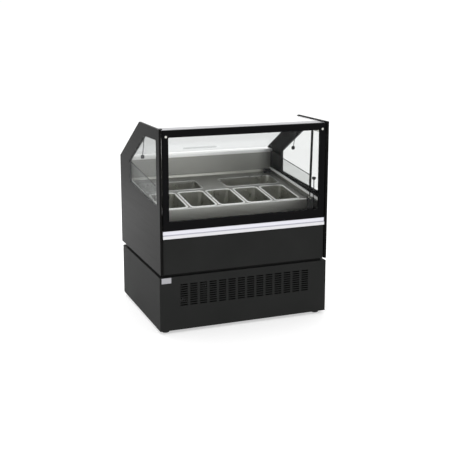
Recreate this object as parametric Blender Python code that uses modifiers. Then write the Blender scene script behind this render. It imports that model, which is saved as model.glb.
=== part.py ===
"""An ice cream dipping cabinet: a glazed, cooled counter with lift-out pans.

The cabinet stands on the floor at z = 0, centred on the origin. The customer stands at -Y and the
server at +Y. Everything is in metres.
"""

import math

import bmesh
import bpy
from mathutils import Matrix, Vector

# ---------------------------------------------------------------- driving dimensions
GAP = 0.0003
WIDTH = 1.000
HEIGHT = 1.125
FOOT_HEIGHT = 0.018
SHEET = 0.0025

# The base housing, front to back, and the recess between it and the upper body.
BASE_FRONT = -0.395
BASE_BACK = 0.368
BASE_TOP = 0.320
BODY_BOTTOM = 0.3355
RECESS = 0.023

# The side panels run past the base at the back and a little past it at the front.
PANEL_FRONT = -0.404
PANEL_BACK = 0.404
PANEL_OUT = 0.497
PANEL_THICK = 0.013
PANEL_IN = PANEL_OUT - PANEL_THICK
APEX_Y = -0.030
ROOF_SLOPE = math.radians(30)
WINDOW_RADIUS = 0.012

# The glazed front, the bright strip and the black fascia below it.
FRONT_FACE = -0.400
FRAME_HALF = 0.4775
FRAME_BOTTOM = 0.5765
FRAME_TOP = 1.1175
FRAME_THICK = 0.016
OPENING_HALF = 0.444
OPENING_BOTTOM = 0.6275
OPENING_TOP = 1.0785
PANE_THICK = 0.006
STRIP_HALF = 0.480
STRIP_BOTTOM = 0.5335
STRIP_TOP = 0.576

# The sloped deck that the pans hang in.
DECK_FRONT = -0.219
DECK_FRONT_Z = 0.650
DECK_SLOPE = math.radians(7.8)
DECK_HALF = 0.4634
DECK_THICK = 0.002
SKIRT_DEPTH = 0.065
BACK_WALL = 0.330
SILL_OVERHANG = 0.004

# Pans: rim width across, rim length, and how far they hang down.
FRONT_PAN = (0.162, 0.265, 0.150)
REAR_PAN = (0.360, 0.165, 0.120)
PAN_PITCH = 0.173
PAN_RIM = 0.010
PAN_WALL = 0.0012
PAN_TAPER = 0.011
PAN_CORNER = 0.026
FRONT_PAN_Y = -0.074
REAR_PAN_Y = 0.168
REAR_PAN_X = 0.250

# The inner tub below the deck.
TUB_HALF = 0.4765
TUB_FRONT = -0.3765
TUB_BACK = 0.3795
TUB_TOP = 0.600
CONTROL_BACK = TUB_BACK + 0.011
TUB_WALL = 0.0145
TUB_THICK_WALL = 0.0365
TUB_FLOOR = 0.380
DRAIN_AT = (0.450, -0.324)
DRAIN_RADIUS = 0.008

# Front grille: columns and rows of horizontal slots.
SLOT_COLUMNS = 14
SLOT_ROWS = 10
SLOT_PITCH_X = 0.0561
SLOT_PITCH_Z = 0.0128
SLOT_SIZE = (0.042, 0.0070)
GRILLE_MIDDLE = (0.002, 0.2137)

# Struts that hold the raised glass: the lower eye, the upper eye, and the tube.
STRUT_X = 0.455
STRUT_LOWER = Vector((0.0, -0.2645, 0.669))
STRUT_UPPER = Vector((0.0, -0.2835, 1.072))
STRUT_TUBE_RADIUS = 0.0068
STRUT_BORE_RADIUS = 0.0045
STRUT_ROD_RADIUS = 0.0036
STRUT_TUBE_LENGTH = 0.345
EYE_RADIUS = 0.0075
EYE_THICK = 0.008

ROUND_STEPS = 24
SMALL_STEPS = 12

# ---------------------------------------------------------------- scene and finishes
for leftover in list(bpy.data.objects):
    bpy.data.objects.remove(leftover, do_unlink=True)

cabinet = bpy.data.collections.new("ice_cream_dipping_cabinet")
bpy.context.scene.collection.children.link(cabinet)
cutters = bpy.data.collections.new("cutters")
cutters.hide_render = True
bpy.context.scene.collection.children.link(cutters)


def finish(name, colour, roughness, metallic=0.0):
    """A Principled material, made once."""
    made = bpy.data.materials.get(name)
    if made:
        return made
    made = bpy.data.materials.new(name)
    made.use_nodes = True
    shader = made.node_tree.nodes["Principled BSDF"]
    shader.inputs["Base Color"].default_value = (*colour, 1.0)
    shader.inputs["Roughness"].default_value = roughness
    shader.inputs["Metallic"].default_value = metallic
    made.diffuse_color = (*colour, 1.0)
    return made


def black_paint():
    return finish("black_paint", (0.022, 0.023, 0.023), 0.42)


def side_laminate():
    return finish("side_laminate", (0.045, 0.046, 0.045), 0.30)


def stainless():
    return finish("stainless", (0.50, 0.50, 0.48), 0.33, 1.0)


def aluminium():
    return finish("aluminium", (0.78, 0.78, 0.82), 0.28, 1.0)


def clear_glass():
    return finish("clear_glass", (0.86, 0.90, 0.89), 0.03)


def white_enamel():
    return finish("white_enamel", (0.90, 0.90, 0.90), 0.20)


def black_plastic():
    return finish("black_plastic", (0.018, 0.018, 0.018), 0.50)


def copper():
    return finish("copper", (0.72, 0.36, 0.20), 0.35, 1.0)


# ---------------------------------------------------------------- shape tools
def add(name, mesh, material, pivot=(0.0, 0.0, 0.0)):
    """An object for a mesh in world coordinates, with its origin moved to the pivot."""
    mesh.transform(Matrix.Translation(-Vector(pivot)))
    mesh.materials.clear()
    mesh.materials.append(material)
    piece = bpy.data.objects.new(name, mesh)
    piece.location = pivot
    cabinet.objects.link(piece)
    return piece


def smooth(mesh, degrees=40):
    """Round shading that keeps edges sharper than the angle."""
    mesh.shade_smooth()
    mesh.set_sharp_from_angle(angle=math.radians(degrees))
    return mesh


def box_mesh(low, high, bevel=0.0, segments=2):
    """A box between two corners, with its edges rounded by a width."""
    bm = bmesh.new()
    bmesh.ops.create_cube(bm, size=1.0)
    size = Vector(high) - Vector(low)
    bmesh.ops.scale(bm, vec=size, verts=bm.verts)
    bmesh.ops.translate(bm, vec=(Vector(high) + Vector(low)) / 2, verts=bm.verts)
    if bevel:
        bmesh.ops.bevel(bm, geom=bm.edges[:], offset=bevel, segments=segments, profile=0.5,
                        affect="EDGES", material=-1)
    mesh = bpy.data.meshes.new("box")
    bm.to_mesh(mesh)
    bm.free()
    return smooth(mesh) if bevel else mesh


def box(name, low, high, material, pivot=(0.0, 0.0, 0.0), bevel=0.0):
    return add(name, box_mesh(low, high, bevel), material, pivot)


def cylinder_mesh(centre, radius, length, axis="Z", steps=ROUND_STEPS):
    """A cylinder along an axis, centred on a point."""
    bm = bmesh.new()
    bmesh.ops.create_cone(bm, cap_ends=True, segments=steps, radius1=radius, radius2=radius, depth=length)
    turn = {"X": Matrix.Rotation(math.pi / 2, 3, "Y"), "Y": Matrix.Rotation(math.pi / 2, 3, "X"),
            "Z": Matrix.Identity(3)}[axis]
    bmesh.ops.rotate(bm, matrix=turn, verts=bm.verts)
    bmesh.ops.translate(bm, vec=centre, verts=bm.verts)
    mesh = bpy.data.meshes.new("cylinder")
    bm.to_mesh(mesh)
    bm.free()
    return smooth(mesh)


def turned_mesh(profile, steps=ROUND_STEPS):
    """A solid turned about Z from (radius, z) points that run from top to bottom."""
    mesh = bpy.data.meshes.new("profile")
    mesh.from_pydata([(r, 0.0, z) for r, z in profile], [(i, i + 1) for i in range(len(profile) - 1)], [])
    holder = bpy.data.objects.new("turning", mesh)
    cutters.objects.link(holder)
    screw = holder.modifiers.new("turn", "SCREW")
    screw.axis = "Z"
    screw.steps = steps
    screw.render_steps = steps
    screw.use_merge_vertices = True
    screw.merge_threshold = 0.0001
    return smooth(baked(holder))


def baked(piece):
    """The evaluated mesh of a helper object, in world coordinates, after which the helper is removed."""
    bpy.context.view_layer.update()
    graph = bpy.context.evaluated_depsgraph_get()
    mesh = bpy.data.meshes.new_from_object(piece.evaluated_get(graph))
    mesh.transform(piece.matrix_world)
    bpy.data.objects.remove(piece, do_unlink=True)
    bm = bmesh.new()
    bm.from_mesh(mesh)
    bmesh.ops.remove_doubles(bm, verts=bm.verts, dist=0.00001)
    bm.to_mesh(mesh)
    bm.free()
    return mesh


def combined(first, second, operation):
    """One mesh from two by an exact Boolean."""
    base = bpy.data.objects.new("base_shape", first)
    tool = bpy.data.objects.new("tool_shape", second)
    for helper in (base, tool):
        cutters.objects.link(helper)
        helper.hide_render = True
        helper.display_type = "WIRE"
    cut = base.modifiers.new("cut", "BOOLEAN")
    cut.operation = operation
    cut.object = tool
    mesh = baked(base)
    bpy.data.objects.remove(tool, do_unlink=True)
    return mesh


def joined(*meshes):
    """The Boolean union of several meshes that overlap."""
    whole = meshes[0]
    for part in meshes[1:]:
        whole = combined(whole, part, "UNION")
    return smooth(whole)


def cut_from(mesh, *tools):
    for tool in tools:
        mesh = combined(mesh, tool, "DIFFERENCE")
    return smooth(mesh)


def rounded(corners, radius, steps=3):
    """An outline with each corner turned into an arc of the given radius."""
    outline = []
    count = len(corners)
    for i in range(count):
        here = Vector(corners[i])
        to_last = (Vector(corners[i - 1]) - here).normalized()
        to_next = (Vector(corners[(i + 1) % count]) - here).normalized()
        half = to_last.angle(to_next) / 2
        middle = here + (to_last + to_next).normalized() * radius / math.sin(half)
        start = here + to_last * radius / math.tan(half) - middle
        end = here + to_next * radius / math.tan(half) - middle
        sweep = start.angle_signed(end)
        for step in range(steps + 1):
            angle = -sweep * step / steps
            outline.append(middle + Matrix.Rotation(angle, 2) @ start)
    return outline


def rectangle(low, high):
    return [(low[0], low[1]), (high[0], low[1]), (high[0], high[1]), (low[0], high[1])]


def circle(centre, radius, steps=SMALL_STEPS):
    turns = [math.tau * i / steps for i in range(steps)]
    return [(centre[0] + radius * math.cos(turn), centre[1] + radius * math.sin(turn)) for turn in turns]


# The plane of a flat outline: which way its own x, y and thickness point.
PLANES = {
    "YZ": Matrix(((0, 0, 1), (1, 0, 0), (0, 1, 0))),
    "XZ": Matrix(((1, 0, 0), (0, 0, -1), (0, 1, 0))),
    "XY": Matrix.Identity(3),
}


def flat_mesh(outlines, plane, low, high):
    """A flat outline, with any holes after it, extruded between two positions across its plane."""
    curve = bpy.data.curves.new("outline", "CURVE")
    curve.dimensions = "2D"
    curve.fill_mode = "BOTH"
    curve.extrude = abs(high - low) / 2
    for outline in outlines:
        spline = curve.splines.new("POLY")
        spline.points.add(len(outline) - 1)
        for point, place in zip(spline.points, outline):
            point.co = (place[0], place[1], 0.0, 1.0)
        spline.use_cyclic_u = True
    holder = bpy.data.objects.new("outline", curve)
    cutters.objects.link(holder)
    turn = PLANES[plane].to_4x4()
    middle = (low + high) / 2
    shift = {"YZ": (middle, 0, 0), "XZ": (0, middle, 0), "XY": (0, 0, middle)}[plane]
    holder.matrix_world = Matrix.Translation(shift) @ turn
    return baked(holder)


def flat(name, outlines, plane, low, high, material, pivot=(0.0, 0.0, 0.0)):
    return add(name, smooth(flat_mesh(outlines, plane, low, high)), material, pivot)


def tube_mesh(points, radii, resolution=2):
    """A round tube along points, with its own radius at each point."""
    curve = bpy.data.curves.new("path", "CURVE")
    curve.dimensions = "3D"
    curve.bevel_depth = 1.0
    curve.bevel_resolution = resolution
    curve.use_fill_caps = True
    spline = curve.splines.new("POLY")
    spline.points.add(len(points) - 1)
    for point, place, radius in zip(spline.points, points, radii):
        point.co = (*place, 1.0)
        point.radius = radius
    holder = bpy.data.objects.new("path", curve)
    cutters.objects.link(holder)
    return smooth(baked(holder))


# ---------------------------------------------------------------- places worked out from the driving ones
def on_deck(across, along, above=0.0):
    """A point of the deck's plane: across it, up its slope from the front edge, and above its top face."""
    rise = Vector((0.0, math.cos(DECK_SLOPE), math.sin(DECK_SLOPE)))
    out = Vector((0.0, -math.sin(DECK_SLOPE), math.cos(DECK_SLOPE)))
    return Vector((across, DECK_FRONT, DECK_FRONT_Z)) + rise * along + out * above


def on_roof(across, along, below=0.0):
    """A point of the rear slope: across it, down it from the apex, and below the panels' sloped edges."""
    down = Vector((0.0, math.cos(ROOF_SLOPE), -math.sin(ROOF_SLOPE)))
    inward = Vector((0.0, -math.sin(ROOF_SLOPE), -math.cos(ROOF_SLOPE)))
    return Vector((across, APEX_Y, HEIGHT)) + down * along + inward * below


def deck_reach(y):
    """How far up the deck a world y lies."""
    return (y - DECK_FRONT) / math.cos(DECK_SLOPE)


def liner_top(y):
    """The height of the side liners' upper edge."""
    front_y, front_z, rise = -0.214, 0.691, 0.1105
    return front_z + (y - front_y) * rise


SHOULDER_Z = HEIGHT - (PANEL_BACK - APEX_Y) * math.tan(ROOF_SLOPE)
SIDES = (("left", -1), ("right", 1))

# ---------------------------------------------------------------- base housing


def base_front_panel():
    """The black front with its bank of horizontal slots, cut through for the condenser's air."""
    slots = []
    for column in range(SLOT_COLUMNS):
        for row in range(SLOT_ROWS):
            x = GRILLE_MIDDLE[0] + (column - (SLOT_COLUMNS - 1) / 2) * SLOT_PITCH_X
            z = GRILLE_MIDDLE[1] + (row - (SLOT_ROWS - 1) / 2) * SLOT_PITCH_Z
            half_x, half_z = SLOT_SIZE[0] / 2, SLOT_SIZE[1] / 2
            slots.append(rectangle((x - half_x, z - half_z), (x + half_x, z + half_z)))
    face = rectangle((-WIDTH / 2, FOOT_HEIGHT), (WIDTH / 2, BASE_TOP))
    flat("base_front_panel", [face] + slots, "XZ", BASE_FRONT, BASE_FRONT + SHEET, black_paint())


def base_sides():
    for side, sign in SIDES:
        inner, outer = sorted((sign * (WIDTH / 2 - SHEET), sign * WIDTH / 2))
        box(f"base_side_{side}", (inner, BASE_FRONT + SHEET + GAP, FOOT_HEIGHT), (outer, BASE_BACK, BASE_TOP),
            black_paint())


TRAY_CUT = ((-0.3840, 0.0207), (-0.1360, 0.0640))


def base_rear_grille():
    """The back of the base: slots for air, and a notch that the condensate tray slides through."""
    half = WIDTH / 2 - SHEET - GAP
    low, high = FOOT_HEIGHT + SHEET + GAP, BASE_TOP - 0.009
    (notch_left, _), (notch_right, notch_top) = TRAY_CUT
    face = [(-half, low), (notch_left, low), (notch_left, notch_top), (notch_right, notch_top),
            (notch_right, low), (half, low), (half, high), (-half, high)]
    slot_half, slot_height, rise, rows = 0.085, 0.008, 0.020, 8
    slots = []
    for middle in (-0.24, 0.02, 0.28):
        for row in range(rows):
            z = 0.130 + row * rise
            slots.append(rectangle((middle - slot_half, z), (middle + slot_half, z + slot_height)))
    flat("base_rear_grille", [face] + slots, "XZ", BASE_BACK - SHEET, BASE_BACK, black_paint())


def base_floor():
    half = WIDTH / 2 - SHEET - GAP
    box("base_floor", (-half, BASE_FRONT + SHEET + GAP, FOOT_HEIGHT),
        (half, BASE_BACK, FOOT_HEIGHT + SHEET), black_paint())


def body_plinth():
    """The base's lid and the narrower block on it that makes the shadow gap, with the drain's way down."""
    half = WIDTH / 2 - SHEET - GAP
    front, back = BASE_FRONT + SHEET + GAP, BASE_BACK
    lid = box_mesh((-half, front, BASE_TOP - 0.0085), (half, back, BASE_TOP - 0.0005))
    block = box_mesh((-WIDTH / 2 + RECESS, BASE_FRONT + RECESS, BASE_TOP - 0.004),
                     (WIDTH / 2 - RECESS, BASE_BACK - RECESS, BODY_BOTTOM - GAP))
    drain = cylinder_mesh((*DRAIN_AT, BASE_TOP), DRAIN_RADIUS, 0.100, "Z", SMALL_STEPS)
    add("body_plinth", cut_from(joined(lid, block), drain), black_paint())


def levelling_feet():
    """Round feet on screw stems, one under each corner."""
    inset_x, inset_y = 0.043, 0.046
    profile = [(0.0, FOOT_HEIGHT - GAP), (0.008, FOOT_HEIGHT - GAP), (0.008, 0.012), (0.0185, 0.011),
               (0.0210, 0.008), (0.0210, 0.002), (0.0195, 0.0), (0.0, 0.0)]
    places = {"front": BASE_FRONT + inset_y, "rear": BASE_BACK - inset_y}
    for end, y in places.items():
        for side, sign in SIDES:
            mesh = turned_mesh(profile, 20)
            place = (sign * (WIDTH / 2 - inset_x), y, 0.0)
            mesh.transform(Matrix.Translation(place))
            add(f"foot_{end}_{side}", mesh, black_plastic(), place)


# ---------------------------------------------------------------- refrigeration unit in the base
COMPRESSOR_AT = (-0.150, 0.020)
CONDENSER = ((-0.230, -0.3760, 0.030), (0.230, -0.3260, 0.290))
FAN_AT = (0.0, 0.160)
FAN_RADIUS = 0.100
FAN_FRONT = -0.3140


def compressor():
    """A hermetic compressor: a welded steel can on a foot plate."""
    floor = FOOT_HEIGHT + SHEET + GAP
    profile = [(0.0, 0.205), (0.030, 0.203), (0.058, 0.193), (0.076, 0.172), (0.082, 0.145), (0.082, 0.112),
               (0.085, 0.110), (0.085, 0.104), (0.082, 0.102), (0.080, 0.060), (0.066, 0.034), (0.050, 0.026),
               (0.050, 0.012), (0.095, 0.010), (0.095, 0.0), (0.0, 0.0)]
    mesh = turned_mesh(profile, 16)
    mesh.transform(Matrix.Translation((*COMPRESSOR_AT, floor)))
    add("compressor", mesh, black_paint())


def condenser():
    box("condenser", *CONDENSER, aluminium())


def fan_shroud():
    """The plate that makes the fan draw through the condenser, with the motor on a bar behind it."""
    low, high = CONDENSER
    back = low[1] + 0.090
    outline = rectangle((low[0], low[2]), (high[0], high[2]))
    plate = flat_mesh([outline, circle(FAN_AT, FAN_RADIUS + 0.006, 28)], "XZ", high[1] + GAP, back)
    bar = box_mesh((-0.125, back - 0.003, FAN_AT[1] - 0.014), (0.125, back + 0.003, FAN_AT[1] + 0.014))
    motor = cylinder_mesh((FAN_AT[0], back + 0.022, FAN_AT[1]), 0.036, 0.050, "Y", 20)
    add("fan_shroud", joined(plate, bar, motor), black_plastic())


def condenser_fan():
    """A hub with five pitched blades that turns about the motor's axis."""
    centre = (FAN_AT[0], FAN_FRONT + 0.012, FAN_AT[1])
    rotor = cylinder_mesh(centre, 0.026, 0.022, "Y", 20)
    blades, blade_pitch = 5, math.radians(28)
    for i in range(blades):
        blade = box_mesh((0.018, -0.0009, -0.024), (FAN_RADIUS - 0.004, 0.0009, 0.024))
        blade.transform(Matrix.Rotation(blade_pitch, 4, "X"))
        blade.transform(Matrix.Rotation(math.tau * i / blades, 4, "Y"))
        blade.transform(Matrix.Translation(centre))
        rotor = combined(rotor, blade, "UNION")
    add("condenser_fan", smooth(rotor), black_plastic(), centre)


def liquid_line():
    """The copper line from the condenser to the compressor, with the filter drier as its fat stretch."""
    pipe, drier = 0.004, 0.014
    path = [(0.234, -0.300, 0.250), (0.262, -0.290, 0.250), (0.275, -0.262, 0.246), (0.276, -0.225, 0.240),
            (0.276, -0.215, 0.238), (0.276, -0.135, 0.226), (0.276, -0.125, 0.224), (0.268, -0.050, 0.216),
            (0.240, 0.000, 0.212), (0.150, 0.022, 0.210), (0.040, 0.024, 0.206), (-0.020, 0.022, 0.190),
            (-0.058, 0.020, 0.160)]
    radii = [pipe, pipe, pipe, pipe, drier, drier, pipe, pipe, pipe, pipe, pipe, pipe, pipe]
    add("liquid_line", tube_mesh(path, radii), copper())


def condensate_tray():
    """A shallow tray that slides out of the back of the base."""
    left, right, front, back = -0.3810, -0.1390, 0.150, BASE_BACK + 0.0015
    low, high = TRAY_CUT[0][1] + 0.0008, 0.060
    wall = 0.002
    body = box_mesh((left, front, low), (right, back, high))
    hollow = box_mesh((left + wall, front + wall, low + wall), (right - wall, back - wall, high + 0.010))
    plate = box_mesh((left - 0.010, BASE_BACK + GAP, low), (right + 0.010, BASE_BACK + 0.0035, 0.072))
    grip = box_mesh((-0.300, BASE_BACK + 0.002, 0.060), (-0.220, BASE_BACK + 0.014, 0.066))
    add("condensate_tray", joined(cut_from(body, hollow), plate, grip), black_plastic(), (-0.260, back, low))


# ---------------------------------------------------------------- body below the glass
def tub():
    """The foamed inner tub, open at the top, with a drain hole in its front right corner."""
    side = TUB_HALF - TUB_WALL
    shell = box_mesh((-TUB_HALF, TUB_FRONT, BODY_BOTTOM + GAP), (TUB_HALF, TUB_BACK, TUB_TOP))
    hollow = box_mesh((-side, TUB_FRONT + TUB_THICK_WALL, TUB_FLOOR),
                      (side, TUB_BACK - TUB_THICK_WALL, TUB_TOP + 0.050))
    drain = cylinder_mesh((*DRAIN_AT, TUB_FLOOR), DRAIN_RADIUS, 0.200, "Z", SMALL_STEPS)
    add("tub", cut_from(shell, hollow, drain), stainless())


def drain_plug():
    """A plug on a long rod with a knob, which is pulled up to drain the tub."""
    top = 0.800
    profile = [(0.0, top), (0.009, top - 0.0005), (0.0115, top - 0.004), (0.0115, top - 0.012),
               (0.008, top - 0.017), (0.0028, top - 0.018), (0.0028, TUB_FLOOR + 0.024),
               (0.0095, TUB_FLOOR + 0.020), (0.0105, TUB_FLOOR + GAP), (0.0, TUB_FLOOR + GAP)]
    mesh = turned_mesh(profile, 16)
    mesh.transform(Matrix.Translation((*DRAIN_AT, 0.0)))
    add("drain_plug", mesh, black_plastic(), (*DRAIN_AT, TUB_FLOOR))


def side_liners():
    """The stainless walls beside the pans, whose bright top edge slopes with the deck.

    Each carries the lug that the glass strut's lower eye turns on.
    """
    inner, outer = DECK_HALF + GAP, TUB_HALF
    front, back = TUB_FRONT, BACK_WALL - GAP
    bottom = TUB_TOP + GAP
    outline = [(front, bottom), (back, bottom), (back, liner_top(back)), (front, liner_top(front))]
    for side, sign in SIDES:
        wall = flat_mesh([outline], "YZ", *sorted((sign * inner, sign * outer)))
        lug_x = sign * (STRUT_X + EYE_THICK / 2 + GAP + 0.004)
        lug = cylinder_mesh((lug_x, STRUT_LOWER.y, STRUT_LOWER.z), 0.009, 0.008, "X", 16)
        add(f"side_liner_{side}", joined(wall, lug), stainless())


def rear_wall():
    """The insulated wall behind the pans, with the sill that the rear hatch closes on."""
    sill_bottom, sill_top = 0.8545, 0.8695
    wall = box_mesh((-TUB_HALF, BACK_WALL, TUB_TOP + GAP), (TUB_HALF, TUB_BACK, sill_bottom + 0.005))
    sill_half = TUB_HALF + 0.006
    sill = box_mesh((-sill_half, BACK_WALL - SILL_OVERHANG, sill_bottom), (sill_half, TUB_BACK, sill_top))
    add("rear_wall", joined(wall, sill), stainless())


def rear_panel():
    """The outer skin on the server's side."""
    half, low, high = PANEL_IN - 0.001, BODY_BOTTOM + 0.001, 0.866
    box("rear_panel", (-half, TUB_BACK + GAP, low), (half, CONTROL_BACK, high), black_paint(), bevel=0.002)


def front_fascia():
    """The black fascia under the glass, and the bright two-step strip above it."""
    back = TUB_FRONT - GAP
    box("lower_fascia", (-STRIP_HALF, -0.396, BODY_BOTTOM), (STRIP_HALF, back, STRIP_BOTTOM - GAP),
        black_paint(), bevel=0.002)
    step = STRIP_BOTTOM + 0.018
    section = [(back, STRIP_BOTTOM), (back, STRIP_TOP - 0.0005), (-0.3985, STRIP_TOP - 0.0005),
               (-0.3985, step + 0.003), (-0.4025, step), (-0.4035, STRIP_BOTTOM + 0.002),
               (-0.4025, STRIP_BOTTOM)]
    flat("trim_strip", [section], "YZ", -STRIP_HALF, STRIP_HALF, aluminium())


# ---------------------------------------------------------------- deck, pans and what cools them
def pan_places():
    """Each pan's name, rim size and place on the deck."""
    places = []
    for i in range(5):
        places.append((f"front_pan_{i + 1}", FRONT_PAN, (i - 2) * PAN_PITCH, deck_reach(FRONT_PAN_Y)))
    for side, sign in SIDES:
        places.append((f"rear_pan_{side}", REAR_PAN, sign * REAR_PAN_X, deck_reach(REAR_PAN_Y)))
    return places


def deck():
    """The sloped stainless deck: a hole for each pan, and a skirt bent down at the front."""
    length = (BACK_WALL - GAP - DECK_FRONT) / math.cos(DECK_SLOPE) - 0.0005
    holes = []
    for _, (wide, long, _), x, along in pan_places():
        half_x, half_y = wide / 2 - PAN_RIM * 0.6, long / 2 - PAN_RIM * 0.6
        corners = rectangle((x - half_x, along - half_y), (x + half_x, along + half_y))
        holes.append(rounded(corners, PAN_CORNER, 4))
    top = flat_mesh([rectangle((-DECK_HALF, 0.0), (DECK_HALF, length))] + holes, "XY", -DECK_THICK, 0.0)
    top.transform(Matrix.Translation((0.0, DECK_FRONT, DECK_FRONT_Z)) @ Matrix.Rotation(DECK_SLOPE, 4, "X"))
    skirt_half = TUB_HALF - TUB_WALL - 0.001
    skirt = box_mesh((-skirt_half, DECK_FRONT, DECK_FRONT_Z - SKIRT_DEPTH),
                     (skirt_half, DECK_FRONT + DECK_THICK, DECK_FRONT_Z - DECK_THICK / 2))
    add("deck", joined(top, skirt), stainless())


def pan(name, size, across, along):
    """A pressed pan: tapered walls, rounded corners and a flat rim, all one sheet thick."""
    wide, long, deep = size
    bm = bmesh.new()
    bmesh.ops.create_cube(bm, size=1.0)
    inner = Vector((wide - 2 * PAN_RIM, long - 2 * PAN_RIM, deep))
    bmesh.ops.scale(bm, vec=inner, verts=bm.verts)
    bmesh.ops.translate(bm, vec=(0, 0, -deep / 2), verts=bm.verts)
    for vert in bm.verts:
        if vert.co.z < -deep / 2:
            vert.co.x -= math.copysign(PAN_TAPER, vert.co.x)
            vert.co.y -= math.copysign(PAN_TAPER, vert.co.y)
    upright = [e for e in bm.edges if abs(e.verts[0].co.z - e.verts[1].co.z) > deep / 2]
    bmesh.ops.bevel(bm, geom=upright, offset=PAN_CORNER - PAN_RIM * 0.4, segments=4, profile=0.5,
                    affect="EDGES", material=-1)
    foot = [e for e in bm.edges if max(v.co.z for v in e.verts) < -deep + 0.0001]
    bmesh.ops.bevel(bm, geom=foot, offset=0.014, segments=2, profile=0.5, affect="EDGES", material=-1)
    lid = [f for f in bm.faces if min(v.co.z for v in f.verts) > -0.0001]
    bmesh.ops.delete(bm, geom=lid, context="FACES_ONLY")
    mouth = [e for e in bm.edges if e.is_boundary]
    rim = bmesh.ops.extrude_edge_only(bm, edges=mouth)["geom"]
    rim_verts = [v for v in rim if isinstance(v, bmesh.types.BMVert)]
    bmesh.ops.scale(bm, vec=(wide / inner.x, long / inner.y, 1.0), verts=rim_verts)
    bmesh.ops.recalc_face_normals(bm, faces=bm.faces)
    if sum(f.normal.z for f in bm.faces if f.calc_center_median().z < -deep + 0.001) < 0:
        bmesh.ops.reverse_faces(bm, faces=bm.faces)
    mesh = bpy.data.meshes.new(name)
    bm.to_mesh(mesh)
    bm.free()
    holder = bpy.data.objects.new("pan", mesh)
    cutters.objects.link(holder)
    wall = holder.modifiers.new("sheet", "SOLIDIFY")
    wall.thickness = PAN_WALL
    wall.offset = 1.0
    solid = baked(holder)
    place = on_deck(across, along, GAP)
    solid.transform(Matrix.Translation(place) @ Matrix.Rotation(DECK_SLOPE, 4, "X"))
    add(name, smooth(solid, 50), stainless(), place)


def evaporator():
    """The finned coil on the tub's floor, under the pans."""
    box("evaporator", (-0.300, -0.020, TUB_FLOOR + GAP), (0.300, 0.130, TUB_FLOOR + 0.075), aluminium())


# ---------------------------------------------------------------- glazed sides
WINDOW = [(-0.346, 0.7045), (0.192, 0.7470), (0.192, 0.8720), (-0.130, 1.0580), (-0.346, 1.0620)]
WINDOW_MIDDLE_Z = 0.800


def side_panels():
    """Thick black side panels, each with a window flush in it."""
    outline = [(PANEL_FRONT, BODY_BOTTOM), (PANEL_BACK, BODY_BOTTOM), (PANEL_BACK, SHOULDER_Z),
               (APEX_Y, HEIGHT), (PANEL_FRONT, HEIGHT)]
    edge, hole = rounded(outline, 0.003, 2), rounded(WINDOW, WINDOW_RADIUS, 4)
    inset = 0.0005
    corners = [(y - math.copysign(inset, y), z - math.copysign(inset, z - WINDOW_MIDDLE_Z))
               for y, z in WINDOW]
    pane = rounded(corners, WINDOW_RADIUS, 4)
    for side, sign in SIDES:
        low, high = sorted((sign * PANEL_IN, sign * PANEL_OUT))
        flat(f"side_panel_{side}", [edge, hole], "YZ", low, high, side_laminate())
        flat(f"side_window_{side}", [pane], "YZ", low + inset, high - inset, clear_glass())


def side_baffles():
    """Clear strips standing on the side liners, which keep the cold air off the side windows."""
    front, back, height = -0.232, BACK_WALL - SILL_OVERHANG - 0.001, 0.108
    inset, thick = 0.0030, 0.003
    low = [(front, liner_top(front) + GAP), (back, liner_top(back) + GAP)]
    high = [(back, liner_top(back) + height), (front, liner_top(front) + height)]
    for side, sign in SIDES:
        first = sign * (DECK_HALF + inset)
        second = sign * (DECK_HALF + inset + thick)
        flat(f"side_baffle_{side}", [low + high], "YZ", *sorted((first, second)), clear_glass())


# ---------------------------------------------------------------- canopy
RAIL_BOTTOM = 1.0955
RAIL_BACK = -0.290
PANE_BACK = FRONT_FACE + FRAME_THICK + GAP + PANE_THICK


def canopy():
    """The top: an aluminium front rail, a white sheet behind it and a lamp under both."""
    half, top = PANEL_IN - 0.0005, 1.1178
    edge = 0.0015
    box("canopy_rail", (-half, PANE_BACK + 0.0012, RAIL_BOTTOM), (half, RAIL_BACK, top), aluminium(),
        bevel=edge)
    box("top_sheet", (-half, RAIL_BACK + GAP, top - 0.012), (half, APEX_Y - 0.006, top), white_enamel(),
        bevel=edge)
    lamp = [(-0.284, top - 0.0123), (-0.284, 1.094), (-0.278, 1.084), (-0.256, 1.084), (-0.250, 1.094),
            (-0.250, top - 0.0123)]
    flat("canopy_lamp", [lamp], "YZ", -0.400, 0.400, white_enamel())


# ---------------------------------------------------------------- front glass that lifts
GLASS_PIVOT = Vector((0.0, PANE_BACK, FRAME_TOP))
SCREW_AT = (0.458, 1.084)


def front_glass():
    """The black frame and its pane, which swing up together about their top edge."""
    screws = [circle((sign * SCREW_AT[0], SCREW_AT[1]), 0.0035) for _, sign in SIDES]
    outer = rectangle((-FRAME_HALF, FRAME_BOTTOM), (FRAME_HALF, FRAME_TOP))
    opening = rounded(rectangle((-OPENING_HALF, OPENING_BOTTOM), (OPENING_HALF, OPENING_TOP)), 0.004, 2)
    flat("glass_frame", [outer, opening] + screws, "XZ", FRONT_FACE, FRONT_FACE + FRAME_THICK, black_paint(),
         GLASS_PIVOT)
    margin = 0.008
    pane = rectangle((-FRAME_HALF + margin, FRAME_BOTTOM + margin), (FRAME_HALF - margin, FRAME_TOP - margin))
    pane_front = PANE_BACK - PANE_THICK
    flat("front_glass", [pane] + screws, "XZ", pane_front, PANE_BACK, clear_glass(), GLASS_PIVOT)


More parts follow.
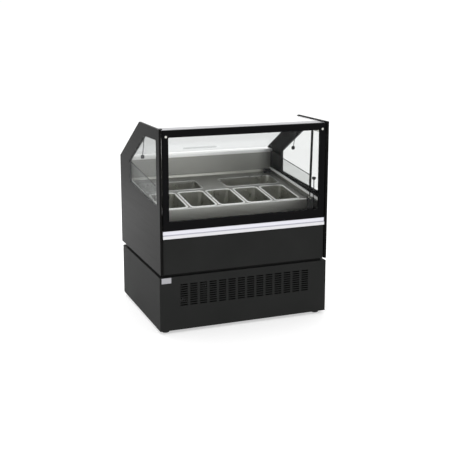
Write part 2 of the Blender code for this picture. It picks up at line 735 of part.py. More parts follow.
def glass_arms():
    """Brackets screwed through the glass at its top corners, reaching back to the struts."""
    web_in = STRUT_X + STRUT_TUBE_RADIUS + 0.0006
    web_out = web_in + 0.0035
    back = PANE_BACK + GAP
    web_outline = [(back, 1.060), (back, 1.094), (back + 0.010, 1.094), (STRUT_UPPER.y + 0.002, 1.081),
                   (STRUT_UPPER.y + 0.010, 1.075), (STRUT_UPPER.y + 0.010, 1.067), (STRUT_UPPER.y, 1.062)]
    for side, sign in SIDES:
        web = flat_mesh([web_outline], "YZ", *sorted((sign * web_in, sign * web_out)))
        low, high = sorted((sign * 0.450, sign * web_out))
        flange = box_mesh((low, back, 1.060), (high, back + 0.004, 1.094))
        x, z = sign * SCREW_AT[0], SCREW_AT[1]
        head_front = FRONT_FACE - GAP - 0.0025
        head = cylinder_mesh((x, FRONT_FACE - GAP - 0.00125, z), 0.0065, 0.0025, "Y", 16)
        shank_at = (x, (head_front + back) / 2 + 0.001, z)
        shank = cylinder_mesh(shank_at, 0.0028, back - head_front, "Y", SMALL_STEPS)
        add(f"glass_arm_{side}", joined(web, flange, shank, head), stainless(), GLASS_PIVOT)


def eye_on(centre, sign):
    return cylinder_mesh((sign * STRUT_X, centre.y, centre.z), EYE_RADIUS, EYE_THICK, "X", 16)


def struts():
    """Gas struts beside the glass: a rod turning on the liner's lug, and a tube that slides on it."""
    run = STRUT_UPPER - STRUT_LOWER
    lean = Vector((0.0, 0.0, 1.0)).rotation_difference(run.normalized()).to_matrix().to_4x4()
    mouth = run.length - STRUT_TUBE_LENGTH
    for side, sign in SIDES:
        seat = Matrix.Translation((sign * STRUT_X, STRUT_LOWER.y, STRUT_LOWER.z)) @ lean
        rod_top = mouth + 0.040
        rod = turned_mesh([(0.0, rod_top), (STRUT_ROD_RADIUS, rod_top), (STRUT_ROD_RADIUS, 0.003),
                           (0.0, 0.003)], SMALL_STEPS)
        rod.transform(seat)
        rod_pivot = (sign * STRUT_X, STRUT_LOWER.y, STRUT_LOWER.z)
        add(f"strut_rod_{side}", joined(rod, eye_on(STRUT_LOWER, sign)), stainless(), rod_pivot)
        bore_top = mouth + 0.110
        tube = turned_mesh([(0.0, run.length - 0.003), (STRUT_TUBE_RADIUS * 0.7, run.length - 0.003),
                            (STRUT_TUBE_RADIUS, run.length - 0.014), (STRUT_TUBE_RADIUS, mouth),
                            (STRUT_BORE_RADIUS, mouth), (STRUT_BORE_RADIUS, bore_top),
                            (0.0, bore_top)], SMALL_STEPS)
        tube.transform(seat)
        add(f"strut_tube_{side}", joined(tube, eye_on(STRUT_UPPER, sign)), black_paint(),
            (sign * STRUT_X, STRUT_UPPER.y, STRUT_UPPER.z))


# ---------------------------------------------------------------- rear hatch and its props
HATCH_BELOW = 0.008
HATCH_THICK = 0.005
HATCH_START = 0.009
HATCH_END = 0.481
PROP_X = 0.4715
PROP_PIVOT = Vector((0.0, -0.042, 1.046))
PROP_LENGTH = 0.131
PROP_LEAN = math.radians(18)


def rear_hatch():
    """The clear sheet over the server's opening, hinged at its upper edge, with a grip at its lower one."""
    half = PANEL_IN - 0.002
    turn = Matrix.Rotation(-ROOF_SLOPE, 4, "X")
    seat = Matrix.Translation(on_roof(0.0, 0.0)) @ turn
    hinge = on_roof(0.0, HATCH_START, HATCH_BELOW)
    sheet = box_mesh((-half, HATCH_START, -HATCH_BELOW - HATCH_THICK), (half, HATCH_END, -HATCH_BELOW))
    sheet.transform(seat)
    add("rear_hatch", sheet, clear_glass(), hinge)
    grip = box_mesh((-0.110, HATCH_END - 0.040, -HATCH_BELOW + GAP), (0.110, HATCH_END - 0.026, 0.0), 0.003)
    grip.transform(seat)
    add("hatch_handle", grip, black_plastic(), hinge)


def hatch_props():
    """Short rods with black knobs that hang at the panels and swing up with the hatch to hold it."""
    lower = PROP_PIVOT + Vector((0.0, math.sin(PROP_LEAN), -math.cos(PROP_LEAN))) * PROP_LENGTH
    for side, sign in SIDES:
        shift = Vector((sign * PROP_X, 0.0, 0.0))
        rod = tube_mesh([PROP_PIVOT + shift, lower + shift], [0.0022, 0.0022])
        knob = turned_mesh([(0.0, 0.012), (0.006, 0.011), (0.0105, 0.005), (0.0105, -0.007), (0.007, -0.011),
                            (0.0, -0.012)], 16)
        knob.transform(Matrix.Translation(lower + shift))
        pin_x = sign * (PANEL_IN - GAP - 0.0075)
        pin = cylinder_mesh((pin_x, PROP_PIVOT.y, PROP_PIVOT.z), 0.006, 0.015, "X", SMALL_STEPS)
        add(f"hatch_prop_{side}", joined(pin, rod, knob), black_plastic(), PROP_PIVOT + shift)


# ---------------------------------------------------------------- controls on the server's side
CONTROL_FACE = CONTROL_BACK + 0.0070
CONTROL_LOW = (0.190, 0.690)
CONTROL_HIGH = (0.430, 0.790)
SWITCHES = (("power_switch", 0.375), ("light_switch", 0.335))
SWITCH_Z = 0.740
SWITCH_HALF = (0.0090, 0.0130)
KEYS = (("thermostat_key_up", 0.752), ("thermostat_key_down", 0.728))
KEY_X = 0.295
KEY_RADIUS = 0.0050


def control_panel():
    """A plate with the thermostat's raised bezel, its keys' holes and the two switch holes."""
    plate = flat_mesh([rounded(rectangle(CONTROL_LOW, CONTROL_HIGH), 0.006, 3)], "XZ", CONTROL_BACK + GAP,
                      CONTROL_FACE)
    holes = [cylinder_mesh((KEY_X, CONTROL_FACE, z), KEY_RADIUS + 0.0006, 0.040, "Y", SMALL_STEPS)
             for _, z in KEYS]
    for _, x in SWITCHES:
        holes.append(box_mesh((x - SWITCH_HALF[0], CONTROL_BACK - 0.010, SWITCH_Z - SWITCH_HALF[1]),
                              (x + SWITCH_HALF[0], CONTROL_FACE + 0.010, SWITCH_Z + SWITCH_HALF[1])))
    bezel = box_mesh((0.208, CONTROL_FACE - 0.002, 0.718), (0.278, CONTROL_FACE + 0.0025, 0.762))
    add("control_panel", cut_from(joined(plate, bezel), *holes), black_plastic())


def switches():
    """Two rockers and two keys, each in its own hole."""
    for name, x in SWITCHES:
        half_x, half_z, back = SWITCH_HALF[0] - 0.0006, SWITCH_HALF[1] - 0.0016, CONTROL_FACE - 0.0025
        section = [(back, SWITCH_Z - half_z), (back, SWITCH_Z + half_z),
                   (CONTROL_FACE - 0.0005, SWITCH_Z + half_z),
                   (CONTROL_FACE + 0.0012, SWITCH_Z), (CONTROL_FACE + 0.0040, SWITCH_Z - half_z)]
        rocker = flat_mesh([section], "YZ", x - half_x, x + half_x)
        add(name, rocker, black_plastic(), (x, CONTROL_FACE, SWITCH_Z))
    for name, z in KEYS:
        length = 0.0050
        middle = (KEY_X, CONTROL_FACE + 0.0016 - length / 2, z)
        key = cylinder_mesh(middle, KEY_RADIUS, length, "Y", SMALL_STEPS)
        add(name, key, black_plastic(), (KEY_X, CONTROL_FACE, z))


def power_inlet():
    """The recessed mains socket on the back of the base."""
    middle = Vector((0.400, BASE_BACK + GAP + 0.007, 0.080))
    half = Vector((0.025, 0.007, 0.017))
    body = box_mesh(middle - half, middle + half)
    recess_half = Vector((0.0125, 0.006, 0.0085))
    shift = Vector((0, 0.003, 0))
    recess = box_mesh(middle - recess_half + shift, middle + recess_half + shift)
    add("power_inlet", cut_from(body, recess), black_plastic())


# ---------------------------------------------------------------- assembly
base_front_panel()
base_sides()
base_rear_grille()
base_floor()
body_plinth()
levelling_feet()

compressor()
condenser()
fan_shroud()
condenser_fan()
liquid_line()
condensate_tray()

tub()
drain_plug()
side_liners()
rear_wall()
rear_panel()
front_fascia()

deck()
for pan_name, pan_size, pan_x, pan_along in pan_places():
    pan(pan_name, pan_size, pan_x, pan_along)
evaporator()

side_panels()
side_baffles()
canopy()

front_glass()
glass_arms()
struts()

rear_hatch()
hatch_props()

control_panel()
switches()
power_inlet()
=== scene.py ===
"""A glazed ice cream dipping cabinet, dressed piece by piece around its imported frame."""
import math

import bmesh
import bpy
from mathutils import Matrix, Vector


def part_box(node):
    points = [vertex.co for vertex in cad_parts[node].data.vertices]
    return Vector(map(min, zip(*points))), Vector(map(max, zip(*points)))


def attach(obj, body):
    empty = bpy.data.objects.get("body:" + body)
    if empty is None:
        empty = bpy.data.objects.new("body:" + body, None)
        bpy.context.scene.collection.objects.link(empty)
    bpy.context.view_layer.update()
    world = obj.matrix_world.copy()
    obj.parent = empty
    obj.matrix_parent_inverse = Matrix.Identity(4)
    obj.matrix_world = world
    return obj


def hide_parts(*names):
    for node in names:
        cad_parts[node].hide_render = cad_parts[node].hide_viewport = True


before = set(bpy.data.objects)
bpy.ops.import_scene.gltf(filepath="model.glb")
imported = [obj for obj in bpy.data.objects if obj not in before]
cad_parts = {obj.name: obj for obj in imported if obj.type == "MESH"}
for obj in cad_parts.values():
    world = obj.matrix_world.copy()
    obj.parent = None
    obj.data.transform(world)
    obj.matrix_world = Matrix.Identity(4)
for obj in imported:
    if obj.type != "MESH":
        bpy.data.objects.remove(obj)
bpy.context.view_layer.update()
scene = bpy.context.scene

# ---------------------------------------------------------------- base housing
# Folded steel sheet with a satin black powder coat: a front pierced with air slots, two sides, a
# floor, a slotted back, and a lid whose raised block lifts the body clear of the base.
SHEET_BEND, PIERCED_EDGE = 0.00096, 0.0004


class Wire:
    """A shader socket that Python's operators do maths on."""

    def __init__(self, finish, socket):
        self.finish, self.socket = finish, socket

    def maths(self, operation, *values):
        return self.finish.node("ShaderNodeMath", {"operation": operation}, dict(enumerate(values)))

    def __add__(self, other):
        return self.maths("ADD", self, other)

    __radd__ = __add__

    def __sub__(self, other):
        return self.maths("SUBTRACT", self, other)

    def __rsub__(self, other):
        return self.maths("SUBTRACT", other, self)

    def __mul__(self, other):
        return self.maths("MULTIPLY", self, other)

    __rmul__ = __mul__

    def __pow__(self, power):
        return self.maths("POWER", self, power)

    def above(self, limit):
        return self.maths("GREATER_THAN", self, limit)

    def within(self, low, high):
        """1 between two limits and 0 outside them."""
        return self.above(low) * (1 - self.above(high))

    def spread(self, low, high):
        """0 at low and 1 at high, with a smooth rise between."""
        return self.finish.node("ShaderNodeMapRange", {"interpolation_type": "SMOOTHSTEP"},
                                {"Value": self, "From Min": low, "From Max": high})


class Finish:
    """A node material under construction. Its patterns sit on the piece's own coordinates, in metres."""

    def __init__(self, name):
        self.material = bpy.data.materials.new(name)
        self.material.use_nodes = True
        self.tree = self.material.node_tree
        self.shader = self.tree.nodes["Principled BSDF"]
        self.place = self.node("ShaderNodeTexCoord", output="Object")

    def node(self, kind, settings=None, sockets=None, output=0):
        """The one way a node is made: its settings first, then its sockets' values or links."""
        made = self.tree.nodes.new(kind)
        for name, value in (settings or {}).items():
            setattr(made, name, value)
        self.fill(made, sockets or {})
        return Wire(self, made.outputs[output])

    def fill(self, made, sockets):
        for name, value in sockets.items():
            if isinstance(value, Wire):
                self.tree.links.new(value.socket, made.inputs[name])
            else:
                made.inputs[name].default_value = value

    def axis(self, index):
        return self.node("ShaderNodeSeparateXYZ", sockets={"Vector": self.place}, output=index)

    def noise(self, scale, stretch=(1.0, 1.0, 1.0), detail=3.0):
        """Grain of so many spots a metre, drawn out where stretch is small."""
        place = self.node("ShaderNodeMapping", sockets={"Vector": self.place, "Scale": stretch})
        return self.node("ShaderNodeTexNoise", sockets={"Vector": place, "Scale": scale, "Detail": detail})

    def tint(self, factor, first, second):
        """One colour turning into another."""
        return self.node("ShaderNodeMix", {"data_type": "RGBA"},
                         {"Factor": factor, 6: (*first, 1.0) if isinstance(first, tuple) else first,
                          7: (*second, 1.0) if isinstance(second, tuple) else second}, output=2)

    def bump(self, height, depth):
        """Relief of a depth in metres where the height goes from 0 to 1."""
        normal = self.node("ShaderNodeBump", sockets={"Height": height, "Distance": depth}, output="Normal")
        self.fill(self.shader, {"Normal": normal})

    def done(self, **sockets):
        """Sets the Principled shader, with underscores for the spaces in its sockets' names."""
        self.fill(self.shader, {name.replace("_", " "): value for name, value in sockets.items()})
        return self.material


def merged_copy(node):
    """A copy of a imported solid's mesh with its loose triangles joined and its flat faces made whole."""
    shape = bmesh.new()
    shape.from_mesh(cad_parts[node].data)
    bmesh.ops.remove_doubles(shape, verts=shape.verts, dist=0.00001)
    bmesh.ops.dissolve_limit(shape, angle_limit=math.radians(0.5), verts=shape.verts, edges=shape.edges)
    return shape


def eased(shape, width, segments=2, angle=30):
    """Rounds over every edge that is sharper than the angle."""
    sharp = [e for e in shape.edges if e.is_manifold and e.calc_face_angle() > math.radians(angle)]
    bmesh.ops.bevel(shape, geom=sharp, offset=width, segments=segments, profile=0.5, affect="EDGES",
                    clamp_overlap=True, material=-1)
    return shape


def fitted(name, shape, material, body, slot, *stands_for, sharp=40):
    """A finished piece from a bmesh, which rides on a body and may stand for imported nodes."""
    mesh = bpy.data.meshes.new(name)
    shape.to_mesh(mesh)
    shape.free()
    mesh.shade_smooth()
    mesh.set_sharp_from_angle(angle=math.radians(sharp))
    mesh.materials.append(material)
    made = bpy.data.objects.new(name, mesh)
    scene.collection.objects.link(made)
    level = made.modifiers.new("level", "WEIGHTED_NORMAL")
    level.keep_sharp = True
    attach(made, body)
    if stands_for:
        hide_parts(*stands_for)
    return made


def dressed(node, width, material, body, slot, segments=2):
    """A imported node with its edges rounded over, in its own finish."""
    return fitted(f"{node}_finished", eased(merged_copy(node), width, segments), material, body, slot, node)


def powder_coat():
    coat = Finish("powder_coat_black")
    peel, cloud = coat.noise(900.0, detail=1.0), coat.noise(5.0)
    coat.bump(peel, 0.00006)
    return coat.done(Base_Color=coat.tint(cloud, (0.0165, 0.0170, 0.0165), (0.0225, 0.0230, 0.0225)),
                     Roughness=0.34 + 0.12 * cloud, Specular_IOR_Level=0.012)


black_coat = powder_coat()
for sheet in ("base_front_panel", "base_side_left", "base_side_right", "base_rear_grille", "base_floor",
              "body_plinth"):
    edge = PIERCED_EDGE if sheet in ("base_front_panel", "base_rear_grille") else SHEET_BEND
    dressed(sheet, edge, black_coat, "cabinet", "black_paint")

# ---------------------------------------------------------------- levelling feet
# Four moulded black discs on screw stems. They thread into the corners of the base's floor and turn
# by hand until the cabinet stands level.


def moulded_plastic():
    plastic = Finish("moulded_plastic_black")
    grain = plastic.noise(1400.0, detail=2.0)
    plastic.bump(grain, 0.00005)
    return plastic.done(Base_Color=plastic.tint(grain, (0.010, 0.010, 0.011), (0.016, 0.016, 0.017)),
                        Roughness=0.42 + 0.12 * grain, Specular_IOR_Level=0.35)


def turned(profile, centre, steps=48, turn=Matrix.Identity(3)):
    """A shape spun about its own Z from (radius, height) points, then turned and put in place."""
    shape = bmesh.new()
    line = [shape.verts.new((radius, 0.0, height)) for radius, height in profile]
    edges = [shape.edges.new(pair) for pair in zip(line, line[1:])]
    bmesh.ops.spin(shape, geom=line + edges, cent=(0, 0, 0), axis=(0, 0, 1), angle=math.tau, steps=steps,
                   use_merge=True)
    bmesh.ops.remove_doubles(shape, verts=shape.verts, dist=0.000005)
    bmesh.ops.recalc_face_normals(shape, faces=shape.faces)
    bmesh.ops.rotate(shape, cent=(0, 0, 0), matrix=turn, verts=shape.verts)
    bmesh.ops.translate(shape, vec=centre, verts=shape.verts)
    return shape


black_plastic = moulded_plastic()
stem = [(0.0, 0.0177), (0.0078, 0.0177), (0.0078, 0.0126)]
disc = [(0.0120, 0.0120), (0.0180, 0.0112), (0.0202, 0.0096), (0.0209, 0.0078), (0.0209, 0.0024),
        (0.0204, 0.0008), (0.0195, 0.0), (0.0, 0.0)]
for foot in ("foot_front_left", "foot_front_right", "foot_rear_left", "foot_rear_right"):
    low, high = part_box(foot)
    middle = (low + high) / 2
    fitted(f"{foot}_finished", turned(stem + disc, (middle.x, middle.y, 0.0)), black_plastic, foot,
           "black_plastic", foot)

# ---------------------------------------------------------------- name plate
# A small blank plate of satin silver sheet, pressed with a raised border. It is stuck to the top left
# corner of the base's front.
PLATE_WIDE, PLATE_TALL, PLATE_INSET, PLATE_DROP, PLATE_THICK = 0.0545, 0.031, 0.010, 0.002, 0.0014
BORDER, BORDER_STEP, BORDER_HEIGHT = 0.0022, 0.0004, 0.0005


def joined(*shapes):
    """One bmesh that holds several."""
    whole = shapes[0]
    for part in shapes[1:]:
        holder = bpy.data.meshes.new("joining")
        part.to_mesh(holder)
        part.free()
        whole.from_mesh(holder)
        bpy.data.meshes.remove(holder)
    return whole


def block(low, high, bevel=0.0, segments=2):
    """A box between two corners with its edges rounded over."""
    shape = bmesh.new()
    bmesh.ops.create_cube(shape, size=1.0)
    bmesh.ops.scale(shape, vec=Vector(high) - Vector(low), verts=shape.verts)
    bmesh.ops.translate(shape, vec=(Vector(high) + Vector(low)) / 2, verts=shape.verts)
    return eased(shape, bevel, segments) if bevel else shape


def bright_plate():
    plate = Finish("plate_satin_silver")
    lines = plate.noise(60.0, (1.0, 1.0, 60.0))
    plate.bump(lines, 0.00003)
    return plate.done(Base_Color=plate.tint(lines, (0.30, 0.30, 0.32), (0.44, 0.44, 0.46)), Metallic=0.7,
                      Roughness=0.32 + 0.1 * lines)


front_low, front_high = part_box("base_front_panel")
plate_left, plate_top = front_low.x + PLATE_INSET, front_high.z - PLATE_DROP
plate = block((plate_left, front_low.y - PLATE_THICK, plate_top - PLATE_TALL),
              (plate_left + PLATE_WIDE, front_low.y, plate_top), 0.0004)
face = [f for f in plate.faces if f.normal.y < -0.99]
bmesh.ops.inset_individual(plate, faces=face, thickness=BORDER, depth=0.0)
bmesh.ops.inset_individual(plate, faces=face, thickness=BORDER_STEP, depth=-BORDER_HEIGHT)
fitted("name_plate_blank", plate, bright_plate(), "cabinet", "aluminium")

# ---------------------------------------------------------------- condenser and evaporator
# Each coil is rows of pipe pushed through a stack of thin fins between two end plates, with return
# bends brazed on at the ends. The condenser in the base is coated black, fins and pipes, and its black
# also paints in the shade behind the base's slots. The evaporator in the tub has bare aluminium fins on
# copper pipe.
COIL_MARGIN, FIN_PITCH, FIN_THICK, END_PLATE_THICK, PIPE_RADIUS = 0.018, 0.0042, 0.0003, 0.0012, 0.0045


def coated_shaded_fins():
    sheet = Finish("fin_black_coating_and_shade")
    grain = sheet.noise(90.0, (1.0, 1.0, 6.0))
    # Near black: a black coating, and also painted shade for the dark inside of the base.
    return sheet.done(Base_Color=sheet.tint(grain, (0.006, 0.006, 0.006), (0.014, 0.014, 0.014)),
                      Roughness=0.44 + 0.16 * grain, Specular_IOR_Level=0.25)


def mill_aluminium():
    sheet = Finish("fin_aluminium")
    grain = sheet.noise(90.0, (1.0, 1.0, 6.0))
    return sheet.done(Base_Color=sheet.tint(grain, (0.55, 0.56, 0.58), (0.72, 0.73, 0.75)), Metallic=1.0,
                      Roughness=0.34 + 0.16 * grain)


def drawn_copper():
    tube = Finish("drawn_copper")
    dull = tube.noise(45.0)
    return tube.done(Base_Color=tube.tint(dull, (0.50, 0.22, 0.12), (0.74, 0.38, 0.22)), Metallic=1.0,
                     Roughness=0.28 + 0.25 * dull)


def rod_between(start, end, radius, steps=16):
    """A round rod between two points, closed at its ends."""
    run = Vector(end) - Vector(start)
    shape = bmesh.new()
    bmesh.ops.create_cone(shape, cap_ends=True, segments=steps, radius1=radius, radius2=radius,
                          depth=run.length)
    bmesh.ops.rotate(shape, matrix=run.to_track_quat("Z", "Y").to_matrix(), verts=shape.verts)
    bmesh.ops.translate(shape, vec=(Vector(start) + Vector(end)) / 2, verts=shape.verts)
    return shape


def return_bend(centre, spread, radius, axis, outward):
    """A half ring of pipe that joins two rows at a coil's end."""
    shape = bmesh.new()
    along = Vector(axis).normalized()
    bmesh.ops.create_circle(shape, cap_ends=True, segments=10, radius=radius)
    bmesh.ops.rotate(shape, matrix=outward.to_track_quat("Z", "Y").to_matrix(), verts=shape.verts)
    bmesh.ops.translate(shape, vec=Vector(centre) - along * spread / 2, verts=shape.verts)
    bmesh.ops.spin(shape, geom=shape.verts[:] + shape.edges[:] + shape.faces[:], cent=centre,
                   axis=along.cross(outward), angle=math.pi, steps=10)
    bmesh.ops.recalc_face_normals(shape, faces=shape.faces)
    return shape


def standing_sheet(x, thick, low, high, inset, *ease):
    """A thin sheet that stands across X at a place, within a box less an inset."""
    return block((x - thick / 2, low.y + inset, low.z + inset),
                 (x + thick / 2, high.y - inset, high.z - inset), *ease)


def coil_fins(low, high):
    """The stack of fins and its two end plates."""
    middle, reach = (low.x + high.x) / 2, (high.x - low.x) / 2 - COIL_MARGIN
    count = int(2 * reach / FIN_PITCH)
    sheets = [standing_sheet(middle + (i - count / 2) * FIN_PITCH, FIN_THICK, low, high, 0.001)
              for i in range(count + 1)]
    sheets += [standing_sheet(middle + sign * (reach + 0.001), END_PLATE_THICK, low, high, 0.0, 0.0002, 1)
               for sign in (-1, 1)]
    return joined(*sheets)


def coil_pipes(low, high, across, rows):
    """Rows of pipe spaced along one axis, with return bends at alternate ends."""
    middle, step = (low + high) / 2, (high - low)[across] / rows
    reach = Vector(((high.x - low.x) / 2 - COIL_MARGIN, 0, 0))
    along = Vector((0, 1, 0)) if across == 1 else Vector((0, 0, 1))
    pipes = []
    for i in range(rows):
        place = middle.copy()
        place[across] = low[across] + step * (i + 0.5)
        pipes.append(rod_between(place - reach, place + reach, PIPE_RADIUS))
        if i + 1 < rows:
            outward = Vector((1 if i % 2 else -1, 0, 0))
            bend_at = place + outward * reach.x + along * step / 2
            pipes.append(return_bend(bend_at, step, PIPE_RADIUS, along, outward))
    return joined(*pipes)


copper, fin_coating_and_shade, fin_metal = drawn_copper(), coated_shaded_fins(), mill_aluminium()
for coil, across, rows, fin_finish, pipe_finish in (("condenser", 2, 9, fin_coating_and_shade, fin_coating_and_shade),
                                                    ("evaporator", 1, 5, fin_metal, copper)):
    low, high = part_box(coil)
    fitted(f"{coil}_fins", coil_fins(low, high), fin_finish, "cabinet", "aluminium", coil)
    fitted(f"{coil}_pipes", coil_pipes(low, high, across, rows), pipe_finish, "cabinet", "copper")

# ---------------------------------------------------------------- compressor
# A hermetic pot of two pressed steel shells welded at a seam, enamelled black. It stands on a foot
# plate on the base's floor, with a moulded cover over its terminals.


def enamel_black():
    enamel = Finish("compressor_enamel")
    cloud, dust = enamel.noise(9.0), enamel.noise(220.0)
    enamel.bump(dust, 0.00012)
    return enamel.done(Base_Color=enamel.tint(cloud, (0.012, 0.012, 0.013), (0.022, 0.022, 0.023)),
                       Roughness=0.30 + 0.2 * dust)


low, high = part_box("compressor")
pot_at = (low + high) / 2
crown = [(0.0, 0.205), (0.020, 0.2042), (0.040, 0.2005), (0.058, 0.193), (0.070, 0.181), (0.077, 0.166),
         (0.081, 0.148), (0.082, 0.130)]
seam = [(0.082, 0.113), (0.0846, 0.1115), (0.0850, 0.1105), (0.0850, 0.1045), (0.0846, 0.1035),
        (0.082, 0.102)]
bowl = [(0.0815, 0.080), (0.0790, 0.056), (0.0720, 0.040), (0.0600, 0.030), (0.050, 0.026)]
foot_plate = [(0.050, 0.0125), (0.094, 0.0110), (0.095, 0.0100), (0.095, 0.0), (0.0, 0.0)]
pot = turned(crown + seam + bowl + foot_plate, (pot_at.x, pot_at.y, low.z))
fitted("compressor_can", pot, enamel_black(), "cabinet", "black_paint", "compressor")
terminals = block((pot_at.x + 0.070, pot_at.y - 0.030, 0.085), (pot_at.x + 0.108, pot_at.y + 0.030, 0.150),
                  0.004, 3)
fitted("compressor_terminal_cover", terminals, black_plastic, "cabinet", "black_plastic")

# ---------------------------------------------------------------- fan, tray and liquid line
# The fan and its shroud are moulded black plastic, bolted behind the condenser. The moulded tray
# slides out of the back to be emptied. The liquid line is bent copper tube with a brazed drier.
dressed("fan_shroud", 0.0010, black_plastic, "cabinet", "black_plastic")
dressed("condenser_fan", 0.0004, black_plastic, "condenser_fan", "black_plastic")
dressed("condensate_tray", 0.0006, black_plastic, "condensate_tray", "black_plastic")
fitted("liquid_line_finished", merged_copy("liquid_line"), copper, "cabinet", "copper", "liquid_line")

# ---------------------------------------------------------------- tub
# The foamed tub that holds the cold air under the pans. Its skins are stainless sheet, brushed from
# side to side and folded at the corners.


def brushed_steel(name, along, dark=0.40, bright=0.58, smoothest=0.26):
    """Stainless whose grain runs along X, Y or Z, with a few soft clouds from handling."""
    steel = Finish(name)
    stretch = tuple(1.0 if i == along else 130.0 for i in range(3))
    grain, cloud = steel.noise(9.0, stretch, detail=4.0), steel.noise(6.0)
    steel.bump(grain, 0.00004)
    shade = grain * 0.7 + cloud * 0.3
    tone = steel.tint(shade, (dark, dark, dark * 0.93), (bright, bright, bright * 0.93))
    return steel.done(Base_Color=tone, Metallic=1.0, Roughness=smoothest + 0.16 * grain + 0.05 * cloud)


dressed("tub", 0.0015, brushed_steel("steel_grain_x", 0), "cabinet", "stainless")

# ---------------------------------------------------------------- rear wall
# A stainless sheet that stands on the tub behind the pans and is folded back over the cabinet's rim
# as a sill for the server. The sill is painted near white, as a highlight.
SILL_LEVEL = 0.846


def wall_steel():
    """The wall is dull, and the folded top is painted near white as a highlight."""
    steel = Finish("rear_wall_steel")
    grain, cloud = steel.noise(9.0, (1.0, 130.0, 130.0), detail=4.0), steel.noise(2.5)
    steel.bump(grain, 0.00004)
    # A band along the top, painted near white: a painted highlight.
    sill_highlight = steel.axis(2).spread(SILL_LEVEL, SILL_LEVEL + 0.006)
    plain = steel.tint(grain * 0.6 + cloud * 0.4, (0.231, 0.231, 0.216), (0.407, 0.407, 0.381))
    return steel.done(Base_Color=steel.tint(sill_highlight, plain, (0.90, 0.90, 0.89)), Metallic=1.0,
                      Roughness=0.30 + 0.14 * grain)


dressed("rear_wall", 0.0012, wall_steel(), "cabinet", "stainless", 3)

# ---------------------------------------------------------------- side liners
# Stainless sheets between the pans and the side boards, brushed from front to back. They are folded
# over at the top, which falls towards the customer with the deck.
LINER_SLOPE = 0.1105
liner_low, liner_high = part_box("side_liner_right")
liner_in, liner_top = abs(liner_low.x), liner_high.z - liner_high.y * LINER_SLOPE


def liner_steel():
    """Dull below, and painted near white along the folded top, as a highlight."""
    steel = Finish("side_liner_steel")
    grain, cloud = steel.noise(9.0, (130.0, 1.0, 130.0), detail=4.0), steel.noise(4.0)
    steel.bump(grain, 0.00004)
    level = steel.axis(2) - steel.axis(1) * LINER_SLOPE
    # A band along the folded top, painted near white and less metallic: a painted highlight.
    smears_and_painted_highlight = level.spread(liner_top - 0.013, liner_top - 0.010)
    dull = steel.tint(grain * 0.6 + cloud * 0.4, (0.16, 0.16, 0.148), (0.28, 0.28, 0.260))
    return steel.done(Base_Color=steel.tint(smears_and_painted_highlight, dull, (0.93, 0.93, 0.92)), Metallic=1.0 - 0.5 * smears_and_painted_highlight,
                      Roughness=0.28 + 0.14 * grain)


liner_finish = liner_steel()
for side in ("left", "right"):
    dressed(f"side_liner_{side}", 0.0012, liner_finish, "cabinet", "stainless", 3)

# ---------------------------------------------------------------- liner guards
# Black rubber facings over the liners' front ends, beside the deck's skirt. Each hooks over the liner
# and hangs a little way down inside the tub.
GUARD_FRONT, GUARD_LEG_FRONT, GUARD_BACK = 0.148, 0.112, 0.0012
GUARD_TOP, GUARD_HOOK, GUARD_LEG_TOP, GUARD_FOOT = 0.6600, 0.6015, 0.6030, 0.5300


def seal_rubber():
    rubber = Finish("seal_rubber")
    bloom = rubber.noise(160.0)
    rubber.bump(bloom, 0.00008)
    return rubber.done(Base_Color=rubber.tint(bloom, (0.012, 0.012, 0.012), (0.026, 0.026, 0.025)),
                       Roughness=0.62 + 0.15 * bloom, Specular_IOR_Level=0.3)


rubber = seal_rubber()
skirt_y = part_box("deck")[0].y
for side, sign in (("left", -1), ("right", 1)):
    inner, outer = sorted((sign * (liner_in - 0.0016), sign * (liner_in - 0.0003)))
    facing = block((inner, skirt_y - GUARD_FRONT, GUARD_HOOK),
                   (outer, skirt_y - GUARD_BACK, GUARD_TOP), 0.0005)
    leg = block((inner, skirt_y - GUARD_LEG_FRONT, GUARD_FOOT),
                (outer, skirt_y - GUARD_BACK, GUARD_LEG_TOP), 0.0005)
    fitted(f"liner_guard_{side}", joined(facing, leg), rubber, "cabinet", "black_plastic")

# ---------------------------------------------------------------- drain plug
# A rubber stopper on a coated steel rod, with a moulded black knob at the top to pull it by. It
# stands in the drain at the tub's front right corner.
plug_low, plug_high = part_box("drain_plug")
plug_middle = (plug_low + plug_high) / 2
plug_foot = Vector((plug_middle.x, plug_middle.y, plug_low.z))
plug_head = Vector((plug_middle.x, plug_middle.y, plug_high.z))
knob = [(0.0, 0.0), (0.006, -0.0004), (0.0095, -0.0020), (0.0113, -0.0050), (0.0115, -0.0085),
        (0.0108, -0.0120), (0.0085, -0.0160), (0.0060, -0.0178), (0.0, -0.0180)]
stopper = [(0.0, 0.024), (0.0050, 0.0238), (0.0090, 0.0205), (0.0098, 0.012), (0.0105, 0.002), (0.0100, 0.0),
           (0.0, 0.0)]
rod = rod_between(plug_foot + Vector((0, 0, 0.022)), plug_head - Vector((0, 0, 0.017)), 0.0028, 20)
fitted("drain_knob", turned(knob, plug_head), black_plastic, "drain_plug", "black_plastic")
fitted("drain_rod", rod, black_coat, "drain_plug", "black_plastic", "drain_plug")
fitted("drain_stopper", turned(stopper, plug_foot), rubber, "drain_plug", "black_plastic")

# ---------------------------------------------------------------- outer skins
# The rear panel and the fascia under the glass are folded steel sheet, powder coated like the base
# and screwed over the foam.
dressed("rear_panel", 0.0010, black_coat, "cabinet", "black_paint")
dressed("lower_fascia", 0.0010, black_coat, "cabinet", "black_paint")

# ---------------------------------------------------------------- bright strip
# An extruded aluminium profile in two steps, satin above a painted shadow line and bright below it. It
# clips over the joint between the glass frame and the fascia.


